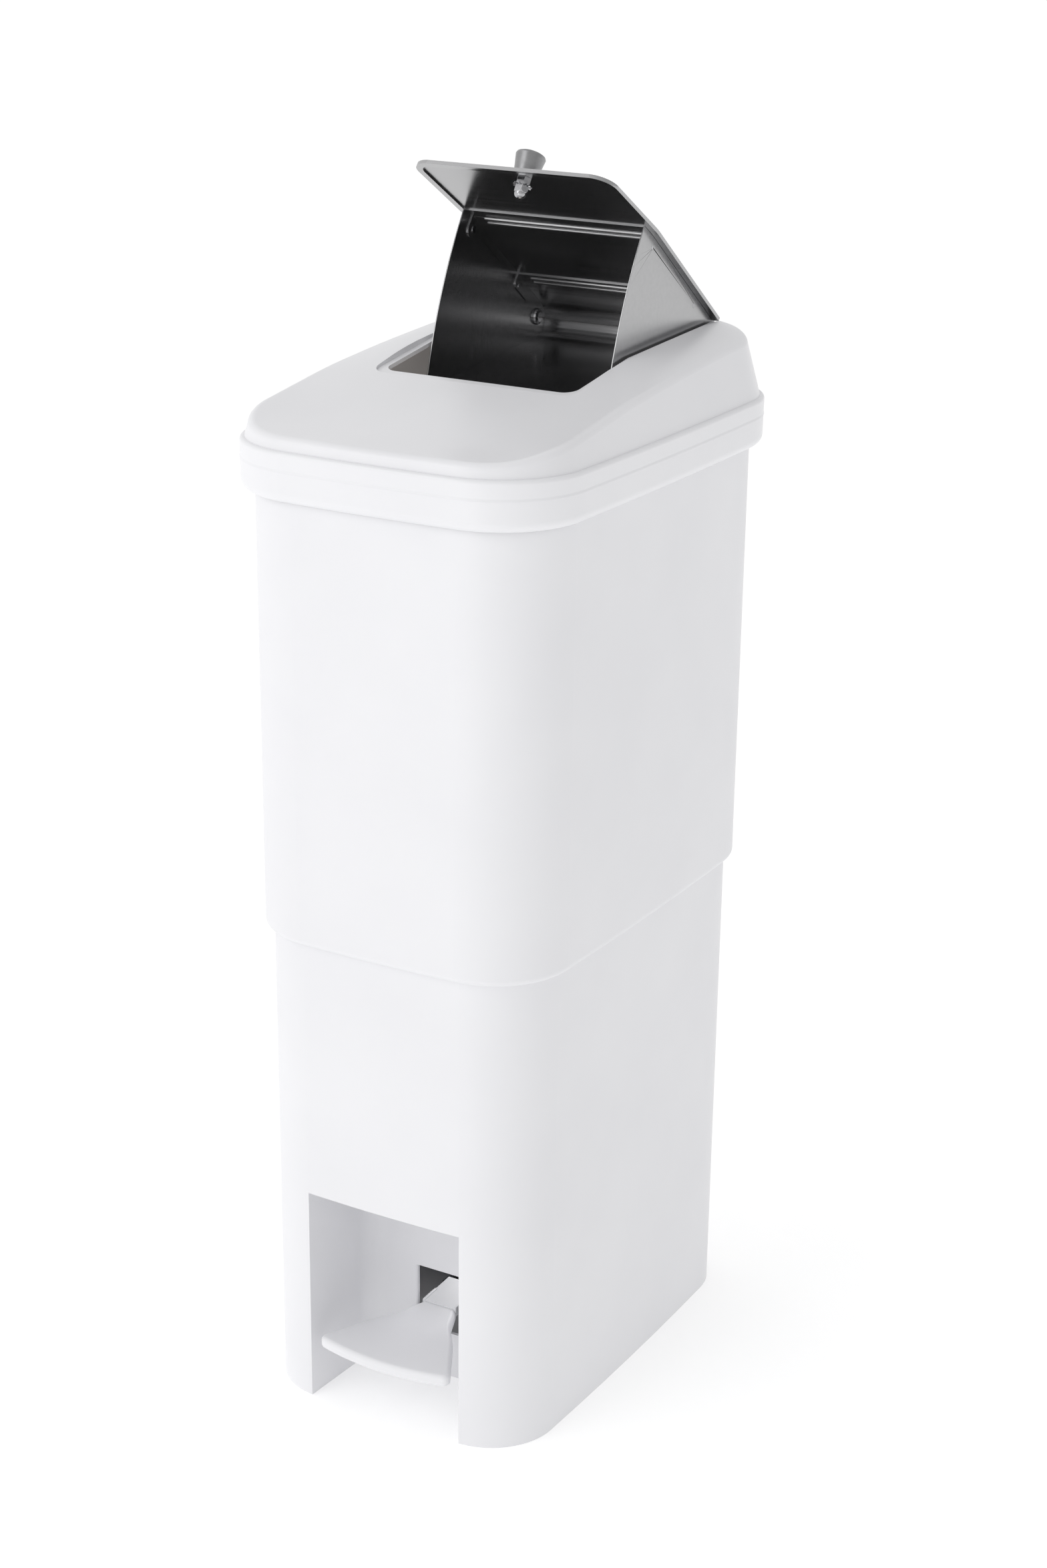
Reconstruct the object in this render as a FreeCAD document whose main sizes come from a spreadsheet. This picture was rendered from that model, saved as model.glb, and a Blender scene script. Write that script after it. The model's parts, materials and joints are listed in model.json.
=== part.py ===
"""Pedal-operated washroom bin: drafted white shells, a stainless tipping flap and its pedal linkage.

Frame: origin on the floor under the middle of the body, +X right, +Y to the rear, +Z up, millimetres.
The model stands in its open pose: pedal pressed, push rod up and flap tipped open.
"""
import FreeCAD, Part
import Sketcher
import math
import os

Vector = FreeCAD.Vector
Rotation = FreeCAD.Rotation
Placement = FreeCAD.Placement
X_AXIS = Vector(1, 0, 0)
Y_AXIS = Vector(0, 1, 0)
Z_AXIS = Vector(0, 0, 1)

doc = FreeCAD.newDocument("pedal_bin")
dims = doc.addObject("Spreadsheet::Sheet", "dims")

SIZES = {
    # body shells
    "base_half_width": 100.0,
    "base_half_depth": 151.5,
    "base_corner_radius": 45.0,
    "wall_draft": 0.0035,
    "side_bow": 1.6,
    "front_bow": 1.3,
    "shell_wall": 2.5,
    "base_rim_height": 345.0,
    "sleeve_bottom": 320.0,
    "sleeve_top": 611.7,
    "sleeve_offset": 5.6,
    "sleeve_edge_radius": 4.8,
    "base_floor_height": 150.0,
    # toe cavity
    "cavity_half_width": 57.0,
    "cavity_rear_half_width": 52.0,
    "cavity_back": -84.0,
    "cavity_height": 147.0,
    "cavity_corner_radius": 15.0,
    "cavity_edge_radius": 3.0,
    "slot_half_width": 16.0,
    "slot_bottom": 32.0,
    "slot_top": 76.0,
    # lid
    "skirt_half_width": 115.0,
    "skirt_half_depth": 167.0,
    "skirt_corner_radius": 57.0,
    "skirt_bottom": 600.0,
    "skirt_top": 631.0,
    "skirt_edge_radius": 6.4,
    "skirt_wall": 6.8,
    "skirt_ledge": 3.0,
    "lid_wall": 2.6,
    "lid_wall_lean": 15.0,
    "lid_crease_radius": 5.0,
    "recess_half_width": 70.5,
    "recess_front": -50.5,
    "opening_half_width": 66.0,
    "opening_front": -42.5,
    "opening_rear": 155.8,
    "recess_rim": 2.5,
    # flap
    "pivot_depth": 140.0,
    "pivot_height": 662.0,
    "flap_closing_angle": 39.5,
    "plate_half_width": 68.5,
    "plate_front_depth": -7.6,
    "plate_front_height": 780.0,
    "plate_bend_depth": 57.4,
    "plate_bend_height": 740.5,
    "plate_rear_depth": 145.7,
    "plate_rear_height": 673.6,
    "plate_corner_radius": 14.0,
    "hem_thickness": 2.4,
    "hem_width": 4.3,
    "steel_thickness": 0.8,
    "plate_thickness": 1.2,
    "cheek_half_width": 64.0,
    "scoop_curve_radius": 11.8,
    "bead_radius": 1.1,
    # knob and its fastening
    "knob_offset": 6.5,
    "knob_setback": 12.0,
    "knob_base_radius": 7.2,
    "knob_top_radius": 9.3,
    "knob_height": 15.0,
    "stud_radius": 2.5,
    "nut_height": 4.5,
    "nut_flats": 8.0,
    "washer_thickness": 0.9,
    "acorn_height": 8.6,
    # flap pivots and crank
    "pivot_radius": 3.0,
    "bush_radius": 4.6,
    "running_clearance": 0.05,
    "crank_length": 25.0,
    "crank_pin_radius": 2.5,
    # linkage
    "rod_offset": 84.0,
    "rod_depth": 118.0,
    "rod_radius": 2.5,
    "shaft_depth": 20.0,
    "shaft_height": 52.0,
    "shaft_radius": 4.0,
    "pedal_slope": 2.7,
    "pedal_thickness": 8.5,
    "pedal_top_offset": 2.8,
    "pedal_half_width": 48.0,
    "pedal_length": 178.5,
    "neck_half_width": 12.7,
    "neck_thickness": 5.0,
    "arm_thickness": 5.0,
    "foot_pin_radius": 3.0,
    # inner bucket
    "bucket_half_width": 78.5,
    "bucket_half_depth": 136.0,
    "bucket_corner_radius": 30.0,
    "bucket_height": 390.0,
    "bucket_wall": 1.8,
    # bottom plate
    "bottom_plate_thickness": 3.0,
    "foot_height": 3.0,
}
for row, (alias, value) in enumerate(SIZES.items(), start=1):
    dims.set("A%d" % row, alias)
    dims.set("B%d" % row, str(value))
    dims.setAlias("B%d" % row, alias)
doc.recompute()


def size(alias):
    """One driving dimension, read from the sheet."""
    return float(dims.get(alias))


# ---------------------------------------------------------------- helpers

def turn_x(point, angle):
    """A point turned about the flap pivot by an angle in degrees (positive closes the flap)."""
    pivot = Vector(0, size("pivot_depth"), size("pivot_height"))
    return Rotation(X_AXIS, angle).multVec(point - pivot) + pivot


def add_shape(name, shape):
    """A plain feature whose shape is worked out above it."""
    item = doc.addObject("Part::Feature", name)
    item.Label = name
    item.Shape = shape
    return item


def bowed_wire(half_width, half_depth, radius, height, bow_side=None, bow_front=None):
    """Rounded rectangle whose four sides bow outwards, tangent to its corner arcs."""
    bow_side = size("side_bow") if bow_side is None else bow_side
    bow_front = size("front_bow") if bow_front is None else bow_front
    centre_x = half_width - radius - bow_side
    centre_y = half_depth - radius - bow_front
    front_radius = (centre_x ** 2 + (radius + bow_front) ** 2 - radius ** 2) / (2 * bow_front)
    side_radius = (centre_y ** 2 + (radius + bow_side) ** 2 - radius ** 2) / (2 * bow_side)
    to_front = math.atan2(half_depth - front_radius - centre_y, -centre_x)
    to_side = math.atan2(-centre_y, half_width - side_radius - centre_x)
    front_end = Vector(centre_x - radius * math.cos(to_front), centre_y - radius * math.sin(to_front), height)
    side_end = Vector(centre_x - radius * math.cos(to_side), centre_y - radius * math.sin(to_side), height)
    middle_angle = math.atan2(front_end.y - centre_y + side_end.y - centre_y,
                              front_end.x - centre_x + side_end.x - centre_x)
    corner_mid = Vector(centre_x + radius * math.cos(middle_angle),
                        centre_y + radius * math.sin(middle_angle), height)

    def quarter(point, flip_x, flip_y):
        return Vector(point.x * flip_x, point.y * flip_y, height)

    edges = []
    for flip_x, flip_y, forward in ((1, -1, True), (1, 1, False), (-1, 1, True), (-1, -1, False)):
        start, end = (front_end, side_end) if forward else (side_end, front_end)
        edges.append(Part.Arc(quarter(start, flip_x, flip_y), quarter(corner_mid, flip_x, flip_y),
                              quarter(end, flip_x, flip_y)).toShape())
        if forward:
            middle = Vector(half_width * flip_x, 0, height)
            far = quarter(side_end, flip_x, -flip_y)
            edges.append(Part.Arc(quarter(side_end, flip_x, flip_y), middle, far).toShape())
        else:
            middle = Vector(0, half_depth * flip_y, height)
            far = quarter(front_end, -flip_x, flip_y)
            edges.append(Part.Arc(quarter(front_end, flip_x, flip_y), middle, far).toShape())
    return Part.Wire(edges)


def bowed_loft(sections):
    """Solid between bowed sections, each (half width, half depth, corner radius, height)."""
    return Part.makeLoft([bowed_wire(*section) for section in sections], True, True)


def body_section(height, offset):
    """Section of the drafted body at a height, grown outwards by an offset."""
    growth = size("wall_draft") * height + offset
    return (size("base_half_width") + growth, size("base_half_depth") + growth,
            size("base_corner_radius") + growth, height)


def yz_prism(points, x_low, x_high):
    """Extrusion along X of a closed polygon given as (depth, height) pairs."""
    wire = Part.makePolygon([Vector(x_low, y, z) for y, z in points + points[:1]])
    return Part.Face(wire).extrude(Vector(x_high - x_low, 0, 0))


def box(low, high):
    """Axis-aligned box between two corners."""
    low, high = Vector(*low), Vector(*high)
    return Part.makeBox(high.x - low.x, high.y - low.y, high.z - low.z, low)


def edges_where(shape, test):
    """Edges of a shape whose end and middle points pass a test."""
    found = []
    for edge in shape.Edges:
        points = [vertex.Point for vertex in edge.Vertexes]
        points.append(edge.valueAt((edge.FirstParameter + edge.LastParameter) / 2))
        if all(test(point) for point in points):
            found.append(edge)
    return found


def cylinder(name, radius, height, base, axis):
    """Part primitive cylinder whose radius and height are expressions of the sheet."""
    item = doc.addObject("Part::Cylinder", name)
    item.setExpression("Radius", radius)
    item.setExpression("Height", height)
    item.Placement = Placement(base, Rotation(Z_AXIS, axis))
    return item


def fuse(name, items):
    """Union of several objects under one name."""
    item = doc.addObject("Part::MultiFuse", name)
    item.Shapes = items
    item.Refine = True
    item.Label = name
    return item


def cut(name, base, tools):
    """Base object less one or more tools."""
    tool = tools[0]
    if len(tools) > 1:
        tool = fuse(name + "_tools", tools)
    item = doc.addObject("Part::Cut", name)
    item.Base = base
    item.Tool = tool
    item.Refine = True
    item.Label = name
    return item


def plane_of(body, role):
    """One origin plane of a body, found by its role."""
    for feature in body.Origin.OriginFeatures:
        if feature.Role == role:
            return feature
    raise ValueError(role)


def turned_body(name, outline, placement):
    """Body of revolution about its local Z; outline is (radius, height) pairs as sheet expressions."""
    body = doc.addObject("PartDesign::Body", name)
    body.Label = name
    sketch = body.newObject("Sketcher::SketchObject", name + "_profile")
    sketch.AttachmentSupport = [(plane_of(body, "XZ_Plane"), "")]
    sketch.MapMode = "FlatFace"
    values = [(evaluate(r), evaluate(z)) for r, z in outline]
    count = len(values)
    for index in range(count):
        start, end = values[index], values[(index + 1) % count]
        sketch.addGeometry(Part.LineSegment(Vector(start[0], start[1], 0), Vector(end[0], end[1], 0)), False)
    for index in range(count):
        constraint("Coincident", sketch, index, 2, (index + 1) % count, 1)
    for index, (radius, height) in enumerate(outline):
        pin_point(sketch, index, "DistanceX", radius, values[index][0])
        pin_point(sketch, index, "DistanceY", height, values[index][1])
    turn = body.newObject("PartDesign::Revolution", name + "_turn")
    turn.Profile = sketch
    turn.ReferenceAxis = (sketch, ["V_Axis"])
    turn.Angle = 360
    sketch.Visibility = False
    body.Placement = placement
    return body


def constraint(kind, sketch, *where):
    """Adds one geometric constraint to a sketch."""
    return sketch.addConstraint(Sketcher.Constraint(kind, *where))


def pin_point(sketch, index, kind, expression, value):
    """Fixes one coordinate of a line's first point from the origin to a sheet expression."""
    number = sketch.addConstraint(Sketcher.Constraint(kind, -1, 1, index, 1, value))
    if "dims." in expression:
        sketch.setExpression("Constraints[%d]" % number, expression)


def evaluate(expression):
    """Value of an expression of sheet cells, such as "dims.knob_height - 1"."""
    text = expression
    for alias in sorted(SIZES, key=len, reverse=True):
        text = text.replace("dims." + alias, repr(SIZES[alias]))
    total = 0.0
    for term in text.replace("- ", "+ -").split("+"):
        product = 1.0
        for factor in term.split("*"):
            product *= float(factor)
        total += product
    return total


# ---------------------------------------------------------------- body shells

def cavity_outline(grow, front):
    """Plan of the toe cavity: tapered sides and two rounded back corners, grown by a wall."""
    back = size("cavity_back") + grow
    front_x = size("cavity_half_width") + grow
    rear_x = size("cavity_rear_half_width") + grow
    points = [Vector(-front_x, front, 0), Vector(-rear_x, back, 0), Vector(rear_x, back, 0),
              Vector(front_x, front, 0)]
    wire = Part.makePolygon(points + points[:1])
    return wire


def cavity_block(grow, front, bottom, top):
    """Solid of the toe cavity between two heights, with rounded back corners."""
    solid = Part.Face(cavity_outline(grow, front)).extrude(Vector(0, 0, top - bottom))
    solid.translate(Vector(0, 0, bottom))
    back = size("cavity_back") + grow
    corners = edges_where(solid, lambda p: abs(p.y - back) < 0.01 and abs(abs(p.x) -
                          size("cavity_rear_half_width") - grow) < 0.01)
    return solid.makeFillet(size("cavity_corner_radius") + grow, corners)


def make_base_shell():
    """Lower body: drafted wall, inner floor, toe cavity with its slot, and bosses for the bottom plate."""
    wall = size("shell_wall")
    top = size("base_rim_height")
    floor = size("base_floor_height")
    outer = bowed_loft([body_section(0, 0), body_section(top, 0)])
    inner = bowed_loft([body_section(-1, -wall), body_section(top + 1, -wall)])
    shell = outer.cut(inner)
    slab = bowed_loft([body_section(floor, -1), body_section(floor + wall, -1)])
    housing = cavity_block(wall, -170, 0, size("cavity_height") + wall).common(outer)
    posts = [Part.makeCylinder(5, floor - 6, Vector(x, y, 6)) for x, y in plate_screw_places()]
    shell = shell.fuse([slab, housing] + posts)
    cavity = cavity_block(0, -170, -5, size("cavity_height"))
    slot = box((-size("slot_half_width"), size("cavity_back") - 1, size("slot_bottom")),
               (size("slot_half_width"), size("cavity_back") + wall + 1, size("slot_top")))
    rod_hole = Part.makeCylinder(5, 10, Vector(size("rod_offset"), size("rod_depth"), floor - 3))
    holes = [Part.makeCylinder(1.7, 20, Vector(x, y, 5)) for x, y in plate_screw_places()]
    holes += [collar_hole(sign, y) for sign in (-1, 1) for y in COLLAR_SCREW_DEPTHS]
    holes += [Part.makeCylinder(1.5, 8, Vector(x, y, floor - 4)) for x, y in lower_guide_screw_places()]
    shell = shell.cut([cavity, slot, rod_hole] + holes)
    front = size("base_half_depth")
    mouth = edges_where(shell, lambda p: p.y < 8 - front and abs(p.x) < size("cavity_half_width") + 1 and
                        2 < p.z < size("cavity_height") + 1 and
                        (abs(abs(p.x) - size("cavity_half_width")) < 1.5 or abs(p.z - size("cavity_height")) < 0.1))
    mouth = [edge for edge in mouth if on_outside(edge)]
    shell = try_fillet(shell, size("cavity_edge_radius"), mouth)
    jambs = edges_where(shell, lambda p: abs(abs(p.x) - size("slot_half_width")) < 0.01 and
                        abs(p.y - size("cavity_back")) < 0.01)
    return try_fillet(shell, SLOT_EDGE_RADIUS, jambs)


SLOT_EDGE_RADIUS = 1.6


def on_outside(edge):
    """True where an edge lies on the drafted outer face of the front."""
    point = edge.valueAt((edge.FirstParameter + edge.LastParameter) / 2)
    return point.y < -(size("base_half_depth") - 4)


def try_fillet(shape, radius, edges):
    """Rounds edges, halving the radius until the result is a valid solid."""
    while radius > 0.4:
        try:
            rounded = shape.makeFillet(radius, edges)
            if rounded.isValid() and rounded.Volume > 0:
                return rounded
        except Part.OCCError:
            pass
        radius /= 2
    print("edges left sharp:", len(edges))
    return shape


COLLAR_SCREW_DEPTHS = (-85.0, 85.0)
COLLAR_SCREW_HEIGHT = 334.0
COLLAR_SCREW_LENGTH = 6.5


def collar_hole(sign, depth):
    """Clearance through the base wall and into the sleeve for one collar screw."""
    start = collar_seat(depth) - 2
    length = COLLAR_SCREW_LENGTH + 2.3
    return Part.makeCylinder(2.0, length, Vector(sign * start, depth, COLLAR_SCREW_HEIGHT), Vector(sign, 0, 0))


def plate_screw_places():
    """Screw places of the bottom plate."""
    return [(-62.0, -62.0), (62.0, -62.0), (-60.0, 122.0), (60.0, 122.0)]


def lower_guide_screw_places():
    """Screw places of the lower rod guide on the inner floor."""
    return [(size("rod_offset"), size("rod_depth") - step) for step in GUIDE_SCREW_STEPS]


GUIDE_SCREW_STEPS = (14.0, 26.0)


def make_sleeve():
    """Upper body: a sleeve with a rounded bottom edge that overhangs the base, and a seating flange."""
    wall = size("shell_wall")
    bottom, top = size("sleeve_bottom"), size("sleeve_top")
    rim = size("base_rim_height")
    offset = size("sleeve_offset")
    outer = bowed_loft([body_section(bottom, offset), body_section(top, offset)])
    lower_edges = edges_where(outer, lambda p: abs(p.z - bottom) < 0.01)
    outer = try_fillet(outer, size("sleeve_edge_radius"), lower_edges)
    socket = bowed_loft([body_section(bottom - 1, 0.3), body_section(rim + 0.2, 0.3)])
    passage = bowed_loft([body_section(rim, -3.2), body_section(rim + 5, -3.2)])
    inside = bowed_loft([body_section(rim + 3.2, offset - wall), body_section(top + 1, offset - wall)])
    sleeve = outer.cut([socket, passage, inside])
    holes = [collar_hole(sign, y) for sign in (-1, 1) for y in COLLAR_SCREW_DEPTHS]
    for z in (UPPER_GUIDE_HEIGHT - 5, UPPER_GUIDE_HEIGHT + 5):
        holes.append(Part.makeCylinder(1.3, 6, Vector(96.5, UPPER_GUIDE_SCREW_DEPTH, z), X_AXIS))
    pad = box((98.5, UPPER_GUIDE_SCREW_DEPTH - 6, UPPER_GUIDE_HEIGHT - 10),
              (105.0, UPPER_GUIDE_SCREW_DEPTH + 6, UPPER_GUIDE_HEIGHT + 10))
    return sleeve.fuse(pad).cut(holes)


UPPER_GUIDE_HEIGHT = 585.0
UPPER_GUIDE_SCREW_DEPTH = 96.0


# ---------------------------------------------------------------- lid

# Lid top at a few depths: height of its flat middle and of its shoulders
LID_TOP = ((-175, 635.0, 636.5), (-143, 640.5, 641.8), (-110, 646.2, 647.6), (-78, 652.0, 652.0),
           (-47, 658.2, 656.0), (-20, 664.3, 658.2), (10, 668.6, 660.4), (50, 671.4, 662.8),
           (95, 673.1, 664.8), (130, 673.6, 664.8), (148, 671.8, 663.0), (160, 667.2, 659.0),
           (172, 659.5, 652.0))


def lid_top_solid(drop):
    """Everything under the lid's top surface, lowered by a drop."""
    wires = []
    for depth, middle, shoulder in LID_TOP:
        middle, shoulder = middle - drop, shoulder - drop
        half = 104.0
        far = 130.0
        slope = (middle - shoulder) / 22.0
        points = [Vector(-far, depth, shoulder - slope * (far - half)), Vector(-half, depth, shoulder),
                  Vector(-62, depth, middle), Vector(0, depth, middle), Vector(62, depth, middle),
                  Vector(half, depth, shoulder), Vector(far, depth, shoulder - slope * (far - half))]
        curve = Part.BSplineCurve()
        curve.interpolate(points)
        low = 560.0
        sides = Part.makePolygon([points[-1], Vector(far, depth, low), Vector(-far, depth, low), points[0]])
        wires.append(Part.Wire([curve.toShape()] + sides.Edges))
    return Part.makeLoft(wires, True, False)


def lid_cap(inset, drop, bottom):
    """Leaning upper part of the lid, cut off by the top surface."""
    lean = math.tan(math.radians(size("lid_wall_lean")))
    base = size("skirt_top")
    top = 690.0

    def section(height):
        shrink = size("skirt_ledge") + inset + (height - base) * lean
        return (size("skirt_half_width") - shrink, size("skirt_half_depth") - shrink,
                size("skirt_corner_radius") - shrink, height)

    walls = bowed_loft([section(bottom), section(top)])
    return walls.common(lid_top_solid(drop))


def closed_plate_line():
    """Underside of the plate as it lies closed: (depth, height) at its front, bend and rear."""
    line = []
    for depth, height in ((size("plate_front_depth"), size("plate_front_height")),
                          (size("plate_bend_depth"), size("plate_bend_height")),
                          (size("plate_rear_depth"), size("plate_rear_height"))):
        point = turn_x(Vector(0, depth, height), size("flap_closing_angle"))
        line.append((point.y, point.z - size("hem_thickness")))
    return line


def recess_tool(half_width, front, rear, drop, top=700.0):
    """Prism above the recess floor, which lies a drop under the closed plate."""
    (front_y, front_z), (bend_y, bend_z), (rear_y, rear_z) = closed_plate_line()
    front_slope = (bend_z - front_z) / (bend_y - front_y)
    rear_slope = (rear_z - bend_z) / (rear_y - bend_y)
    floor = [(front, front_z + front_slope * (front - front_y) - drop), (bend_y, bend_z - drop),
             (rear, rear_z + rear_slope * (rear - rear_y) - drop)]
    prism = yz_prism(floor + [(rear, top), (front, top)], -half_width, half_width)
    corners = edges_where(prism, lambda p: abs(p.y - front) < 0.01 and abs(abs(p.x) - half_width) < 0.01)
    return prism.makeFillet(11.0, corners)


def make_lid():
    """Lid: skirt band, ledge, leaning walls and crowned top with a recessed opening for the flap."""
    wall = size("lid_wall")
    half_width, half_depth = size("skirt_half_width"), size("skirt_half_depth")
    radius = size("skirt_corner_radius")
    bottom, top = size("skirt_bottom"), size("skirt_top")
    skirt = bowed_loft([(half_width - 0.4, half_depth - 0.4, radius - 0.4, bottom),
                        (half_width, half_depth, radius, top)])
    skirt = try_fillet(skirt, size("skirt_edge_radius"), edges_where(skirt, lambda p: abs(p.z - bottom) < 0.01))
    skirt = try_fillet(skirt, 2.4, edges_where(skirt, lambda p: abs(p.z - top) < 0.01))
    cap = lid_cap(0, 0, top - 12)
    crease = [edge for edge in cap.Edges if edge.BoundBox.ZMin > top + 1.5 and not is_upright(edge)]
    cap = try_fillet(cap, size("lid_crease_radius"), crease)
    outer = skirt.fuse(cap)
    band = size("skirt_wall")
    lower = bowed_loft([(half_width - band, half_depth - band, radius - band, bottom - 1),
                        (half_width - band, half_depth - band, radius - band, size("sleeve_top") + 0.3)])
    seat = bowed_loft([(half_width - 10.5, half_depth - 10.5, radius - 10.5, size("sleeve_top")),
                       (half_width - 10.5, half_depth - 10.5, radius - 10.5, size("sleeve_top") + 4)])
    hollow = lid_cap(wall, wall, size("sleeve_top") + 3.3)
    limit = bowed_loft([(half_width - 4, half_depth - 4, radius - 4, size("sleeve_top") + 3.2),
                        (half_width - 4, half_depth - 4, radius - 4, 690)])
    shell = outer.cut([lower, seat, hollow.common(limit)])
    rim = size("recess_rim")
    frame = recess_tool(size("recess_half_width") + rim, size("recess_front") - rim,
                        size("opening_rear") + rim, 0.4 + rim)
    shell = shell.fuse(frame.common(outer))
    ears = [pivot_ear(sign) for sign in (-1, 1)]
    shell = shell.fuse([ear.common(outer) for ear in ears])
    recess = recess_tool(size("recess_half_width"), size("recess_front"), size("opening_rear"), 0.4)
    opening = box((-size("opening_half_width"), size("opening_front"), 600),
                  (size("opening_half_width"), size("opening_rear"), 700))
    corners = edges_where(opening, lambda p: abs(abs(p.x) - size("opening_half_width")) < 0.01 and
                          abs(p.y - size("opening_front")) < 0.01)
    opening = opening.makeFillet(9.0, corners)
    bores = [Part.makeCylinder(size("bush_radius"), 30, Vector(sign * 55, size("pivot_depth"),
             size("pivot_height")), Vector(sign, 0, 0)) for sign in (-1, 1)]
    relief = box((-size("recess_half_width"), size("pivot_depth") - 2, size("pivot_height") + RELIEF_RISE),
                 (size("recess_half_width"), size("opening_rear"), 700))
    return shell.cut([recess, opening, relief] + bores)


RELIEF_RISE = 9.1


def is_upright(edge):
    """True for an edge that rises more than it runs."""
    bounds = edge.BoundBox
    return bounds.ZLength > max(bounds.XLength, bounds.YLength)


EAR_INNER = 67.2
EAR_OUTER = 71.2


def pivot_ear(sign):
    """Round-ended lug under the lid that carries one flap bush."""
    inner, outer = sorted((sign * EAR_INNER, sign * EAR_OUTER))
    depth, height = size("pivot_depth"), size("pivot_height")
    lug = Part.makeCylinder(9.0, outer - inner, Vector(inner, depth, height), X_AXIS)
    return lug.fuse(box((inner, depth - 9, height), (outer, depth + 9, height + 12)))


# ---------------------------------------------------------------- flap

def plate_points():
    """Top line of the plate: front edge, bend and rear edge."""
    return (Vector(0, size("plate_front_depth"), size("plate_front_height")),
            Vector(0, size("plate_bend_depth"), size("plate_bend_height")),
            Vector(0, size("plate_rear_depth"), size("plate_rear_height")))


def plate_band(upper, lower, x_low, x_high, front_trim=0.0, rear_trim=0.0):
    """Bent band between two depths under the plate's top, its bend rounded."""
    front, bend, rear = plate_points()
    along_front = (bend - front).normalize()
    along_rear = (rear - bend).normalize()
    down_front = Vector(0, along_front.z, -along_front.y)
    down_rear = Vector(0, along_rear.z, -along_rear.y)
    middle = (down_front + down_rear).normalize()
    stretch = 1 / middle.dot(down_front)
    front = front + along_front * front_trim
    rear = rear - along_rear * rear_trim
    points = [front + down_front * upper, bend + middle * upper * stretch, rear + down_rear * upper,
              rear + down_rear * lower, bend + middle * lower * stretch, front + down_front * lower]
    prism = yz_prism([(p.y, p.z) for p in points], x_low, x_high)
    bends = edges_where(prism, lambda p: (p - Vector(p.x, bend.y, bend.z)).Length < lower + 1.5)
    return try_fillet(prism, 60.0, bends)


def plate_side_cut(half_width, inset, past_rear=0.0):
    """Plan outline of the plate as a solid along its mean normal, front corners rounded."""
    front, bend, rear = plate_points()
    slope = math.degrees(math.atan2(front.z - rear.z, rear.y - front.y))
    length = (rear - front).Length
    solid = box((-half_width, inset, -40), (half_width, length + past_rear, 40))
    radius = size("plate_corner_radius") - inset
    corners = edges_where(solid, lambda p: abs(p.y - inset) < 0.01 and abs(abs(p.x) - half_width) < 0.01)
    solid = solid.makeFillet(radius, corners)
    solid.Placement = Placement(front, Rotation(X_AXIS, -slope))
    return solid


def make_plate():
    """Flap plate: thin sheet with a folded hem all round, bent once, with a hole for the knob stud."""
    hem = size("hem_width")
    half_width = size("plate_half_width")
    sheet = plate_band(0, size("hem_thickness"), -half_width, half_width)
    sheet = sheet.common(plate_side_cut(half_width, 0))
    pocket = plate_band(size("plate_thickness"), size("hem_thickness") + 2, -half_width, half_width)
    pocket = pocket.common(plate_side_cut(half_width - hem, hem, 5.0))
    stud = stud_cylinder(size("stud_radius") + 0.1, -10, 20)
    return sheet.cut([pocket, stud])


def knob_frame():
    """Placement of the knob: on the plate's top, its axis along the plate's normal."""
    front, bend, rear = plate_points()
    along = (bend - front).normalize()
    normal = Vector(0, -along.z, along.y)
    point = front + along * size("knob_setback") + Vector(size("knob_offset"), 0, 0)
    return Placement(point, Rotation(Z_AXIS, normal))


def stud_cylinder(radius, low, high):
    """Cylinder on the knob's axis between two distances above the plate's top."""
    solid = Part.makeCylinder(radius, high - low, Vector(0, 0, low))
    solid.Placement = knob_frame().multiply(solid.Placement)
    return solid


def inner_floor_line():
    """Inner surface of the tray: flange line, curve round the pivot and floor line as an open wire."""
    front, bend, rear = plate_points()
    along = (rear - bend).normalize()
    down = Vector(0, along.z, -along.y)
    depth = size("plate_thickness") + 2 * size("steel_thickness")
    on_flange = bend + down * depth
    start = on_flange + along * FLANGE_START
    floor_tip = Vector(0, FLOOR_TIP[0], FLOOR_TIP[1])
    floor_along = Vector(0, math.cos(math.radians(FLOOR_SLOPE)), math.sin(math.radians(FLOOR_SLOPE)))
    return start, along, floor_tip, floor_along


FLANGE_START = 74.0
FLOOR_TIP = (2.5, 637.6)
FLOOR_SLOPE = 4.4


def tray_path(offset, start_trim=0.0, tip_trim=0.0):
    """Edges of the tray line moved outwards by an offset: flange, curve and floor."""
    start, along, tip, floor_along = inner_floor_line()
    out_flange = Vector(0, -along.z, along.y)
    out_floor = Vector(0, floor_along.z, -floor_along.y)
    start = start + out_flange * offset + along * start_trim
    tip = tip + out_floor * offset + floor_along * tip_trim
    radius = size("scoop_curve_radius") + offset
    # where the two straight lines meet
    cross = along.y * floor_along.z - along.z * floor_along.y
    gap = tip - start
    reach = (gap.y * floor_along.z - gap.z * floor_along.y) / cross
    corner = start + along * reach
    to_flange = along * -1
    to_floor = floor_along * -1
    half_angle = math.acos(to_flange.dot(to_floor)) / 2
    tangent = radius / math.tan(half_angle)
    bisector = (to_flange + to_floor).normalize()
    centre = corner + bisector * (radius / math.sin(half_angle))
    first = corner + to_flange * tangent
    last = corner + to_floor * tangent
    middle = centre - bisector * radius
    return start, first, middle, last, tip


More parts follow.
